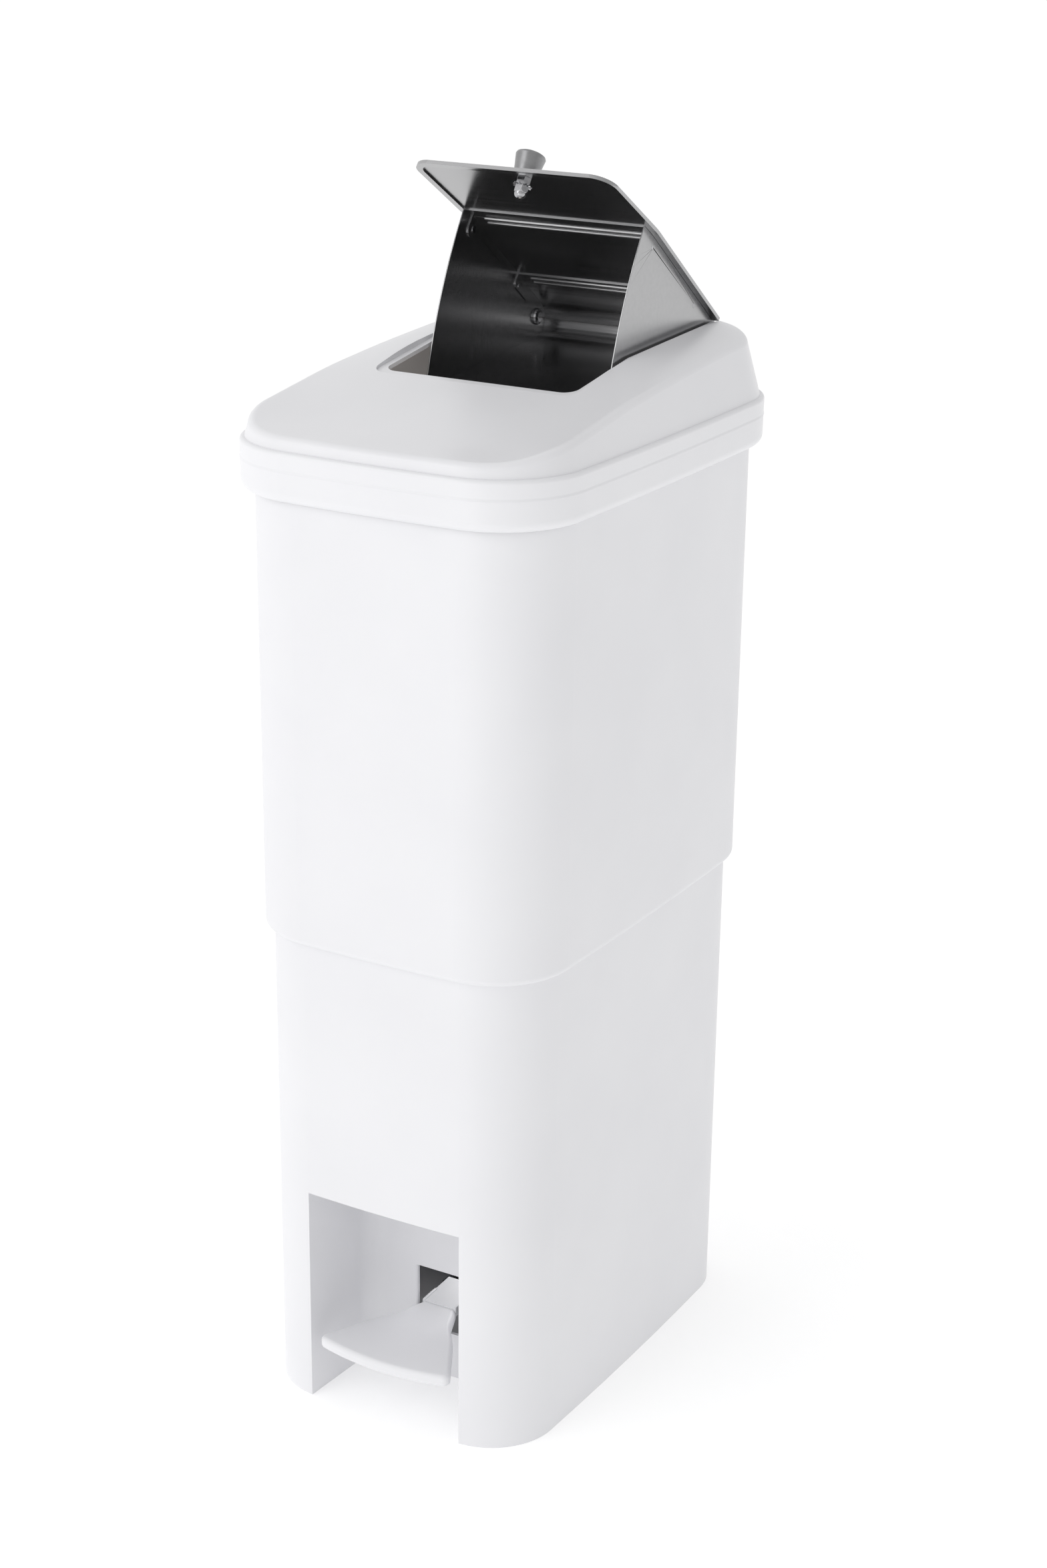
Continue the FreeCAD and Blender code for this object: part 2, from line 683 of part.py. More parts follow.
def tray_sheet(inner, outer, x_low, x_high, start_trim=0.0, tip_trim=0.0):
    """Sheet between two offsets of the tray line."""
    a = tray_path(inner, start_trim, tip_trim)
    b = tray_path(outer, start_trim, tip_trim)
    edges = [Part.makeLine(a[0], a[1]), Part.Arc(a[1], a[2], a[3]).toShape(), Part.makeLine(a[3], a[4]),
             Part.makeLine(a[4], b[4]), Part.makeLine(b[4], b[3]), Part.Arc(b[3], b[2], b[1]).toShape(),
             Part.makeLine(b[1], b[0]), Part.makeLine(b[0], a[0])]
    face = Part.Face(Part.Wire(edges))
    face.translate(Vector(x_low, 0, 0))
    return face.extrude(Vector(x_high - x_low, 0, 0))


def bead(at, x_low, x_high, radius):
    """Pressed bead: a rod with round ends, half sunk in its sheet."""
    rod = Part.makeCylinder(radius, x_high - x_low, Vector(x_low, at.y, at.z), X_AXIS)
    ends = [Part.makeSphere(radius, Vector(x, at.y, at.z)) for x in (x_low, x_high)]
    return rod.fuse(ends)


def side_tab(sign, start, along, inward, length, depth, radius):
    """Flange folded on to a cheek, with a rounded free corner."""
    thickness = size("steel_thickness")
    inner_x = size("cheek_half_width") - 2 * thickness
    points = [start, start + along * length, start + along * length + inward * depth, start + inward * depth]
    low = min(sign * inner_x, sign * (inner_x + thickness))
    tab = yz_prism([(p.y, p.z) for p in points], low, low + thickness)
    corner = start + inward * depth
    rounded = edges_where(tab, lambda p: (Vector(0, p.y, p.z) - Vector(0, corner.y, corner.z)).Length < 0.05)
    return try_fillet(tab, radius, rounded)


def make_upper_panel():
    """Inner panel under the plate: two pressed beads behind its front edge and a tab on each cheek."""
    front, bend, rear = plate_points()
    along_rear = (rear - bend).normalize()
    thickness = size("steel_thickness")
    upper = size("plate_thickness")
    half_width = size("cheek_half_width") - thickness
    start_trim = (bend - front).Length - PANEL_OVERHANG
    sheet = plate_band(upper, upper + thickness, -half_width, half_width, start_trim, 16.0)
    down = Vector(0, along_rear.z, -along_rear.y)
    parts = [sheet]
    for step in BEAD_STEPS:
        at = bend + down * (upper + thickness) + along_rear * (step - PANEL_OVERHANG + 1.5)
        parts.append(bead(at, -half_width + 9, half_width - 5, size("bead_radius")))
    tab_start = bend + down * (upper + thickness * 0.5) + along_rear * 1.0
    for sign in (-1, 1):
        parts.append(side_tab(sign, tab_start, along_rear, down, 20.0, 13.0, 5.0))
    return parts[0].fuse(parts[1:]).cut(plate_band(-4, upper, -half_width, half_width))


PANEL_OVERHANG = 7.0
BEAD_STEPS = (9.0, 14.0)


def make_scoop():
    """Tray sheet: beaded flange, curve round the pivot and nearly level floor."""
    start, along, tip, floor_along = inner_floor_line()
    thickness = size("steel_thickness")
    half_width = size("cheek_half_width") - thickness
    inward = Vector(0, along.z, -along.y)
    parts = [tray_sheet(0, thickness, -half_width, half_width)]
    for step in (4.0, 9.0):
        at = start + along * step
        parts.append(bead(at, -half_width + 9, half_width - 5, size("bead_radius")))
    tab_start = start + inward * (-thickness * 0.5)
    for sign in (-1, 1):
        parts.append(side_tab(sign, tab_start, along, inward, 20.0, 9.0, 3.5))
    above = plate_band(-4, size("plate_thickness") + thickness, -half_width, half_width)
    return parts[0].fuse(parts[1:]).cut(above)


def make_cheek(sign):
    """Side cheek: sector between the plate and the tray floor with a curved free edge."""
    thickness = size("steel_thickness")
    x_low = min(sign * size("cheek_half_width"), sign * (size("cheek_half_width") - thickness))
    front, bend, rear = plate_points()
    along_front = (bend - front).normalize()
    along_rear = (rear - bend).normalize()
    down_front = Vector(0, along_front.z, -along_front.y)
    down_rear = Vector(0, along_rear.z, -along_rear.y)
    depth = size("plate_thickness")
    top_front = bend - along_front * 9.8 + down_front * depth
    middle = (down_front + down_rear).normalize()
    top_bend = bend + middle * (depth / middle.dot(down_front))
    outer = tray_path(thickness)
    top_rear = bend + along_rear * (outer[1] - bend).dot(along_rear) + down_rear * depth
    free_middle = Vector(0, CHEEK_EDGE_MIDDLE[0], CHEEK_EDGE_MIDDLE[1])
    edges = [Part.makeLine(top_front, top_bend), Part.makeLine(top_bend, top_rear),
             Part.makeLine(top_rear, outer[1]), Part.Arc(outer[1], outer[2], outer[3]).toShape(),
             Part.makeLine(outer[3], outer[4]), Part.Arc(outer[4], free_middle, top_front).toShape()]
    face = Part.Face(Part.Wire(edges))
    face.translate(Vector(x_low, 0, 0))
    cheek = face.extrude(Vector(thickness, 0, 0))
    bore = Part.makeCylinder(size("pivot_radius"), 10, Vector(x_low - 5, size("pivot_depth"),
                             size("pivot_height")), X_AXIS)
    above = plate_band(-4, depth, x_low - 1, x_low + thickness + 1)
    return cheek.cut([bore, above] + rivet_holes(sign))


CHEEK_EDGE_MIDDLE = (22.0, 696.0)


def rivet_places():
    """Depth and height of the rivets that join the sheets' tabs to a cheek."""
    front, bend, rear = plate_points()
    along = (rear - bend).normalize()
    down = Vector(0, along.z, -along.y)
    upper = bend + along * 7.5 + down * 8.5
    start, tray_along, tip, floor_along = inner_floor_line()
    lower = start + tray_along * 6.5 + Vector(0, tray_along.z, -tray_along.y) * 5.5
    return [(upper.y, upper.z), (lower.y, lower.z)]


def rivet_holes(sign):
    """Holes for a cheek's rivets."""
    x = sign * (size("cheek_half_width") + 2)
    return [Part.makeCylinder(1.25, 6, Vector(x, y, z), Vector(-sign, 0, 0)) for y, z in rivet_places()]


def make_rivets():
    """Rivets through both cheeks and the sheets' tabs, headed inside and flush outside."""
    rivets = []
    thickness = size("steel_thickness")
    for sign in (-1, 1):
        inner = size("cheek_half_width") - 2 * thickness
        outer = size("cheek_half_width")
        for y, z in rivet_places():
            shank = Part.makeCylinder(1.25, outer - inner + 0.45, Vector(sign * (inner - 0.45), y, z),
                                      Vector(sign, 0, 0))
            head = Part.makeCylinder(2.3, 0.45, Vector(sign * (inner - 0.45), y, z), Vector(sign, 0, 0))
            rivets.append(shank.fuse(head))
    return Part.makeCompound(rivets)


# ---------------------------------------------------------------- knob and fastenings

def make_knob_parts():
    """Tapered knob, its stud and the clamp nut, toothed washer and acorn nut under the plate."""
    frame = knob_frame()
    turned_body("knob", [("0", "0"), ("dims.knob_base_radius", "0"),
                         ("dims.knob_top_radius", "dims.knob_height - 2.6"),
                         ("dims.knob_top_radius - 0.5", "dims.knob_height - 1.5"),
                         ("dims.knob_top_radius - 1.9", "dims.knob_height - 0.8"),
                         ("4.0", "dims.knob_height - 0.15"), ("0", "dims.knob_height")], frame)
    under = -size("plate_thickness")
    down = frame.multiply(Placement(Vector(0, 0, under), Rotation(X_AXIS, 180)))
    turned_body("knob_stud", [("0", "0"), ("dims.stud_radius", "0"), ("dims.stud_radius", "11.0"),
                              ("dims.stud_radius - 0.5", "11.5"), ("0", "11.5")],
                down.multiply(Placement(Vector(0, 0, under), Rotation())))
    clamp = hex_nut("clamp_nut", "dims.nut_height", "dims.nut_flats * 0.6", "dims.stud_radius", 0.4)
    clamp.Placement = down
    washer_at = down.multiply(Placement(Vector(0, 0, size("nut_height")), Rotation()))
    add_shape("lock_washer", toothed_washer()).Placement = washer_at
    acorn_at = washer_at.multiply(Placement(Vector(0, 0, size("washer_thickness")), Rotation()))
    add_shape("acorn_nut", acorn_shape()).Placement = acorn_at


def hex_nut(name, height, circumradius, bore, chamfer):
    """Hexagon nut with a plain bore and rounded-off corners, from Part primitives."""
    prism = doc.addObject("Part::Prism", name + "_hexagon")
    prism.Polygon = 6
    prism.setExpression("Circumradius", circumradius)
    prism.setExpression("Height", height)
    cone = doc.addObject("Part::Cone", name + "_corners")
    cone.setExpression("Radius1", circumradius + " + 1.2")
    cone.setExpression("Radius2", circumradius + " - %.2f" % chamfer)
    cone.setExpression("Height", height)
    common = doc.addObject("Part::MultiCommon", name + "_body")
    common.Shapes = [prism, cone]
    hole = cylinder(name + "_bore", bore, height, Vector(0, 0, 0), Z_AXIS)
    return cut(name, common, [hole])


def toothed_washer():
    """External-tooth lock washer: ring with slanted teeth."""
    thickness = size("washer_thickness")
    ring = Part.makeCylinder(4.1, thickness * 0.6)
    teeth = []
    for index in range(12):
        tooth = Part.makeBox(2.2, 1.1, thickness, Vector(3.6, -0.55, 0))
        tooth.rotate(Vector(4.8, 0, thickness / 2), X_AXIS, 18)
        tooth.rotate(Vector(0, 0, 0), Z_AXIS, 30 * index)
        teeth.append(tooth.common(Part.makeCylinder(7, thickness)))
    washer = ring.fuse(teeth)
    return washer.cut(Part.makeCylinder(size("stud_radius"), 3, Vector(0, 0, -1)))


def acorn_shape():
    """Domed cap nut with a blind bore."""
    flats = size("nut_flats")
    points = [Vector(flats / math.sqrt(3) * math.cos(math.radians(60 * k)),
                     flats / math.sqrt(3) * math.sin(math.radians(60 * k)), 0) for k in range(7)]
    prism = Part.Face(Part.makePolygon(points)).extrude(Vector(0, 0, 4.2))
    dome = Part.makeSphere(3.7, Vector(0, 0, 4.2)).fuse(Part.makeCylinder(3.7, 4.2))
    corners = Part.makeCone(6.0, 3.9, 4.4)
    nut = prism.common(corners).fuse(dome.common(Part.makeCylinder(5, size("acorn_height"))))
    return nut.cut(Part.makeCylinder(size("stud_radius"), 5.2))


def make_pivot_parts():
    """Pivot bolt, bush and nut on each side of the flap."""
    nuts = []
    for side, sign in (("left", -1), ("right", 1)):
        outward = Rotation(Z_AXIS, Vector(sign, 0, 0))
        head_face = Vector(sign * (size("cheek_half_width") - size("steel_thickness")),
                           size("pivot_depth"), size("pivot_height"))
        start = Placement(head_face - Vector(sign * 3.0, 0, 0), outward)
        turned_body(side + "_pivot_bolt", [("0", "0"), ("3.2", "0"), ("4.8", "0.9"), ("5.4", "2.0"),
                                           ("5.4", "3.0"), ("dims.pivot_radius", "3.0"),
                                           ("dims.pivot_radius", "16.0"), ("0", "16.0")], start)
        bush = Placement(Vector(sign * (EAR_INNER - 0.3), size("pivot_depth"), size("pivot_height")), outward)
        turned_body(side + "_pivot_bush", [("dims.pivot_radius + dims.running_clearance", "0"),
                                           ("dims.bush_radius", "0"), ("dims.bush_radius", "4.4"),
                                           ("dims.pivot_radius + dims.running_clearance", "4.4")], bush)
        nut = hexagon(5.6, 3.6).cut(Part.makeCylinder(size("pivot_radius"), 4))
        nut.Placement = Placement(Vector(sign * (EAR_OUTER + 0.5), size("pivot_depth"),
                                         size("pivot_height")), outward)
        nuts.append(nut)
    add_shape("pivot_nuts", Part.makeCompound(nuts))


def hexagon(circumradius, height):
    """Hexagonal prism standing on the XY plane."""
    points = [Vector(circumradius * math.cos(math.radians(60 * k)),
                     circumradius * math.sin(math.radians(60 * k)), 0) for k in range(7)]
    return Part.Face(Part.makePolygon(points)).extrude(Vector(0, 0, height))


CRANK_THICKNESS = 1.5
CRANK_RIVET_STEPS = (12.5, 18.5)


def make_crank_parts():
    """Crank plate riveted to the right cheek, with the pin that the push rod lifts."""
    x = size("cheek_half_width")
    depth, height, length = size("pivot_depth"), size("pivot_height"), size("crank_length")
    pin_depth = depth - length
    crank = Part.makeCylinder(7.5, CRANK_THICKNESS, Vector(x, depth, height), X_AXIS)
    crank = crank.fuse([Part.makeCylinder(5.5, CRANK_THICKNESS, Vector(x, pin_depth, height), X_AXIS),
                        yz_prism([(depth, height - 7.4), (pin_depth, height - 5.4), (pin_depth, height + 5.4),
                                  (depth, height + 7.4)], x, x + CRANK_THICKNESS)])
    holes = [Part.makeCylinder(size("pivot_radius"), 9, Vector(x - 3, depth, height), X_AXIS),
             Part.makeCylinder(size("crank_pin_radius"), 9, Vector(x - 3, pin_depth, height), X_AXIS)]
    holes += [Part.makeCylinder(1.4, 9, Vector(x - 3, depth - step, height), X_AXIS)
              for step in CRANK_RIVET_STEPS]
    add_shape("flap_crank", crank.cut(holes))
    pin_at = Placement(Vector(x, pin_depth, height), Rotation(Z_AXIS, X_AXIS))
    turned_body("crank_pin", [("0", "0"), ("dims.crank_pin_radius", "0"), ("dims.crank_pin_radius", "26.0"),
                              ("dims.crank_pin_radius - 0.6", "26.6"), ("0", "26.6")], pin_at)
    rivets = []
    for step in CRANK_RIVET_STEPS:
        inner = x - size("steel_thickness")
        shank = Part.makeCylinder(1.4, CRANK_THICKNESS + size("steel_thickness") + 0.9,
                                  Vector(inner - 0.45, depth - step, height), X_AXIS)
        heads = [Part.makeCylinder(2.4, 0.45, Vector(at, depth - step, height), X_AXIS)
                 for at in (inner - 0.45, x + CRANK_THICKNESS)]
        rivets.append(shank.fuse(heads))
    add_shape("crank_rivets", Part.makeCompound(rivets))


def crank_holes():
    """Holes that the crank's rivets need in the right cheek."""
    x = size("cheek_half_width")
    return [Part.makeCylinder(1.4, 6, Vector(x - 3, size("pivot_depth") - step, size("pivot_height")), X_AXIS)
            for step in CRANK_RIVET_STEPS]


# ---------------------------------------------------------------- push rod

YOKE_FLOOR_GAP = 0.7


def make_rod_parts():
    """Push rod with its yoke under the crank pin and its clevis over the rear arm."""
    x, y = size("rod_offset"), size("rod_depth")
    pin_height = size("pivot_height")
    floor = pin_height - size("crank_pin_radius") - YOKE_FLOOR_GAP
    turned_body("push_rod", [("0", "0"), ("dims.rod_radius", "0"), ("dims.rod_radius", "586.0"),
                             ("0", "586.0")], Placement(Vector(x, y, 70), Rotation()))
    yoke = box((x - 5, y - 9.4, floor - 9), (x + 5, y + 9.4, pin_height + 2))
    uprights = edges_where(yoke, lambda p: abs(abs(p.x - x) - 5) < 0.01 and abs(abs(p.y - y) - 9.4) < 0.01)
    yoke = yoke.makeFillet(2.0, uprights)
    mouth = box((x - 6, y - 6.4, floor), (x + 6, y + 6.4, pin_height + 3))
    yoke = yoke.cut([mouth, Part.makeCylinder(size("rod_radius"), 656 - floor + 9.1, Vector(x, y, floor - 9.1))])
    add_shape("rod_yoke", yoke)
    arm_height = rear_arm_tip().z
    clevis = box((x - 5, y - 7, arm_height - 7.5), (x + 5, y + 7, arm_height + 16))
    uprights = edges_where(clevis, lambda p: abs(abs(p.x - x) - 5) < 0.01 and abs(abs(p.y - y) - 7) < 0.01)
    clevis = clevis.makeFillet(2.0, uprights)
    slot = box((x - 2.5, y - 8, arm_height - 8), (x + 2.5, y + 8, arm_height + 9))
    bore = Part.makeCylinder(size("foot_pin_radius"), 12, Vector(x - 6, y, arm_height), X_AXIS)
    socket = Part.makeCylinder(size("rod_radius"), 20, Vector(x, y, 70))
    add_shape("rod_clevis", clevis.cut([slot, bore, socket]))
    turned_body("clevis_pin", [("0", "0"), ("4.2", "0"), ("4.2", "1.2"), ("dims.foot_pin_radius", "1.2"),
                               ("dims.foot_pin_radius", "12.4"), ("0", "12.4")],
                Placement(Vector(x - 6.2, y, arm_height), Rotation(Z_AXIS, X_AXIS)))


def rear_arm_angle():
    """Angle of the rear arm above level in the pressed pose, so that it swings evenly about level."""
    travel = size("crank_length") * math.sin(math.radians(size("flap_closing_angle")))
    reach = size("rod_depth") - size("shaft_depth")
    return math.degrees(math.atan2(travel / 2, reach))


def rear_arm_tip():
    """Centre of the rear arm's eye in the pressed pose."""
    angle = math.radians(rear_arm_angle())
    reach = size("rod_depth") - size("shaft_depth")
    return Vector(size("rod_offset"), size("rod_depth"), size("shaft_height") + reach * math.tan(angle))


def make_guides():
    """Lower and upper guides that keep the push rod upright, with their screws."""
    x, y = size("rod_offset"), size("rod_depth")
    floor = size("base_floor_height") + size("shell_wall")
    bore = size("rod_radius") + 0.3
    lower = box((x - 5.5, y - 32, floor), (x + 4.5, y - 8, floor + 3))
    lower = lower.fuse(Part.makeCylinder(5.4, 10, Vector(x, y, floor)))
    lower = lower.fuse(box((x - 4.5, y - 9, floor), (x + 4.5, y, floor + 6)))
    lower = lower.cut([Part.makeCylinder(bore, 30, Vector(x, y, floor - 5))] +
                      [Part.makeCylinder(1.6, 10, Vector(x, y - step, floor - 3)) for step in GUIDE_SCREW_STEPS])
    add_shape("lower_rod_guide", lower)
    z = UPPER_GUIDE_HEIGHT
    upper = box((95.4, UPPER_GUIDE_SCREW_DEPTH - 7, z - 11), (98.4, UPPER_GUIDE_SCREW_DEPTH + 7, z + 11))
    shelf = box((x - 5.5, UPPER_GUIDE_SCREW_DEPTH - 7, z - 2), (96.0, y, z + 2))
    upper = upper.fuse([shelf, Part.makeCylinder(5.5, 10, Vector(x, y, z - 5))])
    upper = upper.cut([Part.makeCylinder(bore, 30, Vector(x, y, z - 15))] +
                      [Part.makeCylinder(1.6, 8, Vector(93, UPPER_GUIDE_SCREW_DEPTH, z + step), X_AXIS)
                       for step in (-5, 5)])
    add_shape("upper_rod_guide", upper)
    screws = [screw(1.5, 2.8, 1.6, 6.4, Vector(x, y - step, floor + 3), -Z_AXIS) for step in GUIDE_SCREW_STEPS]
    add_shape("lower_guide_screws", Part.makeCompound(screws))
    screws = [screw(1.3, 2.8, 1.6, 6.2, Vector(95.4, UPPER_GUIDE_SCREW_DEPTH, z + step), X_AXIS)
              for step in (-5, 5)]
    add_shape("upper_guide_screws", Part.makeCompound(screws))


def screw(radius, head_radius, head_height, length, seat, direction):
    """Pan-head screw: seat is the point under its head, direction the way it is driven."""
    shank = Part.makeCylinder(radius, length, seat, direction)
    head = Part.makeCylinder(head_radius, head_height, seat - direction * head_height, direction)
    rounded = edges_where(head, lambda p: (p - seat).dot(direction) < 0.01 - head_height)
    head = try_fillet(head, head_height * 0.45, rounded)
    drive = Part.makeBox(head_radius * 1.1, 0.5, 0.6, Vector(-head_radius * 0.55, -0.25, -0.1))
    cross = drive.copy()
    cross.rotate(Vector(0, 0, 0), Z_AXIS, 90)
    recess = drive.fuse(cross)
    recess.Placement = Placement(seat - direction * head_height, Rotation(Z_AXIS, direction))
    return shank.fuse(head).cut(recess)


# ---------------------------------------------------------------- pedal and cross shaft

def shaft_place(angle):
    """Placement of the pedal's own frame: origin on the shaft, turned about it."""
    return Placement(Vector(0, size("shaft_depth"), size("shaft_height")), Rotation(X_AXIS, angle))


def make_pedal():
    """Fan-shaped foot plate with a convex front edge, narrowing to a thinner neck."""
    top = size("pedal_top_offset")
    thickness = size("pedal_thickness")
    half_width, neck = size("pedal_half_width"), size("neck_half_width")
    length = size("pedal_length")
    right = [(half_width, -length - 8), (half_width, -length + 11), (31.0, -136.5), (20.0, -121.5), (neck, -103.0)]
    points = right + [(-x, y) for x, y in reversed(right)]
    wire = Part.makePolygon([Vector(x, y, top - thickness) for x, y in points + points[:1]])
    plate = Part.Face(wire).extrude(Vector(0, 0, thickness))
    front_arc = Part.makeCylinder(length + 2, 40, Vector(0, 2, -20))
    plate = plate.common(front_arc)
    for radius, test in ((8.0, lambda p: p.y < -length + 9), (26.0, lambda p: -140 < p.y < -130),
                         (20.0, lambda p: -125 < p.y < -115)):
        plate = try_fillet(plate, radius, upright_edges(plate, test))
    rim = [edge for edge in plate.Edges if edge_middle(edge).y < -103.5 and not is_upright(edge)]
    plate = try_fillet(plate, 3.0, rim)
    body = box((-neck, -103.2, top - size("neck_thickness")), (neck, -70, top))
    ribs = [box((sign * (neck - 1.0) - 1.0, -103.0, top - 1), (sign * (neck - 1.0) + 1.0, -88, top + 1.6))
            for sign in (-1, 1)]
    ribs = [try_fillet(rib, 0.8, [edge for edge in rib.Edges if edge_middle(edge).z > top + 0.5]) for rib in ribs]
    step = box((-neck + 2, -103.2, top - 1), (neck - 2, -72, top + 0.7))
    pedal = plate.fuse([body, step] + ribs)
    holes = [Part.makeCylinder(1.8, 4.2, Vector(0, y, top - size("neck_thickness") - 0.1)) for y in PEDAL_SCREWS]
    item = add_shape("pedal", pedal.cut(holes))
    item.Placement = shaft_place(size("pedal_slope"))


PEDAL_SCREWS = (-90.0, -78.0)


def upright_edges(shape, test):
    """Vertical edges of a shape whose middle point passes a test."""
    return [edge for edge in shape.Edges if is_upright(edge) and test(edge_middle(edge))]


def edge_middle(edge):
    """Middle point of an edge."""
    return edge.valueAt((edge.FirstParameter + edge.LastParameter) / 2)


def make_pedal_arm():
    """Steel arm under the pedal's neck, welded to a hub on the cross shaft."""
    top = size("pedal_top_offset") - size("neck_thickness")
    bar = box((-8, -96, top - size("arm_thickness")), (8, -4, top))
    hub = Part.makeCylinder(8.5, 18, Vector(-9, 0, 0), X_AXIS)
    arm = bar.fuse(hub).cut(Part.makeCylinder(size("shaft_radius"), 30, Vector(-15, 0, 0), X_AXIS))
    arm = arm.cut([Part.makeCylinder(1.8, 20, Vector(0, y, -15)) for y in PEDAL_SCREWS])
    add_shape("pedal_arm", arm).Placement = shaft_place(size("pedal_slope"))
    screws = [screw(1.8, 3.4, 2.0, 9.0, Vector(0, y, top - size("arm_thickness")), Z_AXIS) for y in PEDAL_SCREWS]
    add_shape("pedal_screws", Part.makeCompound(screws)).Placement = shaft_place(size("pedal_slope"))


def make_rear_arm():
    """Steel arm at the right end of the shaft that lifts the push rod."""
    x = size("rod_offset") - 2.0
    reach = (rear_arm_tip() - Vector(size("rod_offset"), size("shaft_depth"), size("shaft_height"))).Length
    hub = Part.makeCylinder(9, 4, Vector(x, 0, 0), X_AXIS)
    eye = Part.makeCylinder(6.5, 4, Vector(x, reach, 0), X_AXIS)
    web = yz_prism([(0, -8.8), (reach, -6.3), (reach, 6.3), (0, 8.8)], x, x + 4)
    arm = hub.fuse([eye, web])
    arm = arm.cut([Part.makeCylinder(size("shaft_radius"), 9, Vector(x - 2, 0, 0), X_AXIS),
                   Part.makeCylinder(size("foot_pin_radius") + 0.4, 9, Vector(x - 2, reach, 0), X_AXIS)])
    add_shape("rear_arm", arm).Placement = shaft_place(rear_arm_angle())


SHAFT_LEFT = -40.0
BRACKETS = (("left", -33.0, -1), ("right", 68.0, 1))


def make_shaft_parts():
    """Cross shaft with its clips, bushes and brackets."""
    turned_body("cross_shaft", [("0", "0"), ("dims.shaft_radius", "0"), ("dims.shaft_radius", "129.0"),
                                ("0", "129.0")],
                Placement(Vector(SHAFT_LEFT, size("shaft_depth"), size("shaft_height")),
                          Rotation(Z_AXIS, X_AXIS)))
    base = size("foot_height") + size("bottom_plate_thickness")
    depth, height = size("shaft_depth"), size("shaft_height")
    screws, clips = [], []
    for side, inner, sign in BRACKETS:
        plate_low, plate_high = sorted((inner, inner + sign * 3.0))
        plate = box((plate_low, depth - 13, base), (plate_high, depth + 13, height))
        plate = plate.fuse(Part.makeCylinder(13, 3, Vector(plate_low, depth, height), X_AXIS))
        foot_low, foot_high = sorted((inner, inner + sign * 20.0))
        foot = box((foot_low, depth - 13, base), (foot_high, depth + 13, base + 3))
        gusset_x = inner + sign * 3
        profile = [Vector(gusset_x, depth - 1.5, base + 3), Vector(gusset_x + sign * 12, depth - 1.5, base + 3),
                   Vector(gusset_x, depth - 1.5, base + 24)]
        gusset = Part.Face(Part.makePolygon(profile + profile[:1])).extrude(Vector(0, 3, 0))
        holes = [Part.makeCylinder(6, 9, Vector(plate_low - 3, depth, height), X_AXIS)]
        for step in (-8, 8):
            seat = Vector(inner + sign * 13, depth + step, base + 3)
            holes.append(Part.makeCylinder(1.8, 9, seat - Vector(0, 0, 6)))
            screws.append(screw(1.8, 3.4, 2.2, 6.0, seat, -Z_AXIS))
        add_shape(side + "_shaft_bracket", plate.fuse([foot, gusset]).cut(holes))
        outward = Placement(Vector(inner - sign * 1.6, depth, height), Rotation(Z_AXIS, Vector(sign, 0, 0)))
        turned_body(side + "_shaft_bush",
                    [("dims.shaft_radius + dims.running_clearance", "0"), ("8.0", "0"), ("8.0", "1.5"),
                     ("6.0", "1.5"), ("6.0", "5.2"), ("dims.shaft_radius + dims.running_clearance", "5.2")], outward)
        clip_low = min(inner + sign * 4.2, inner + sign * 5.2)
        ring = Part.makeCylinder(6.6, 1.0, Vector(clip_low, depth, height), X_AXIS)
        gap = box((clip_low - 1, depth - 1.8, height), (clip_low + 2, depth + 1.8, height + 9))
        clips.append(ring.cut([Part.makeCylinder(4.0, 3, Vector(clip_low - 1, depth, height), X_AXIS), gap]))
    add_shape("bracket_screws", Part.makeCompound(screws))
    add_shape("shaft_clips", Part.makeCompound(clips))


# ---------------------------------------------------------------- bottom plate, bucket, screws

def make_bottom_plate():
    """Cover under the linkage, held by four screws, with four rubber feet."""
    low = size("foot_height")
    thickness = size("bottom_plate_thickness")
    plate = box((-94, -79, low), (94, 145, low + thickness))
    rear = edges_where(plate, lambda p: p.y > 144.9 and abs(abs(p.x) - 94) < 0.01)
    plate = plate.makeFillet(41.0, rear)
    holes = [Part.makeCylinder(1.9, 9, Vector(x, y, low - 3)) for x, y in plate_screw_places()]
    for side, inner, sign in BRACKETS:
        for step in (-8, 8):
            holes.append(Part.makeCylinder(1.8, 9, Vector(inner + sign * 13, size("shaft_depth") + step, low - 3)))
    holes += [Part.makeCylinder(3.0, 9, Vector(x, y, low - 3)) for x, y in FEET]
    add_shape("bottom_plate", plate.cut(holes))
    screws = [screw(1.7, 3.4, 2.0, 16.0, Vector(x, y, low), Z_AXIS) for x, y in plate_screw_places()]
    add_shape("bottom_screws", Part.makeCompound(screws))
    feet = []
    for x, y in FEET:
        pad = Part.makeCylinder(9, low, Vector(x, y, 0))
        pad = try_fillet(pad, 0.8, edges_where(pad, lambda p: p.z < 0.01))
        stem = Part.makeCylinder(3.0, thickness, Vector(x, y, low))
        button = Part.makeCone(4.2, 2.6, 2.2, Vector(x, y, low + thickness))
        feet.append(pad.fuse([stem, button]))
    add_shape("rubber_feet", Part.makeCompound(feet))


FEET = ((-80.0, -66.0), (80.0, -66.0), (-72.0, 108.0), (72.0, 108.0))


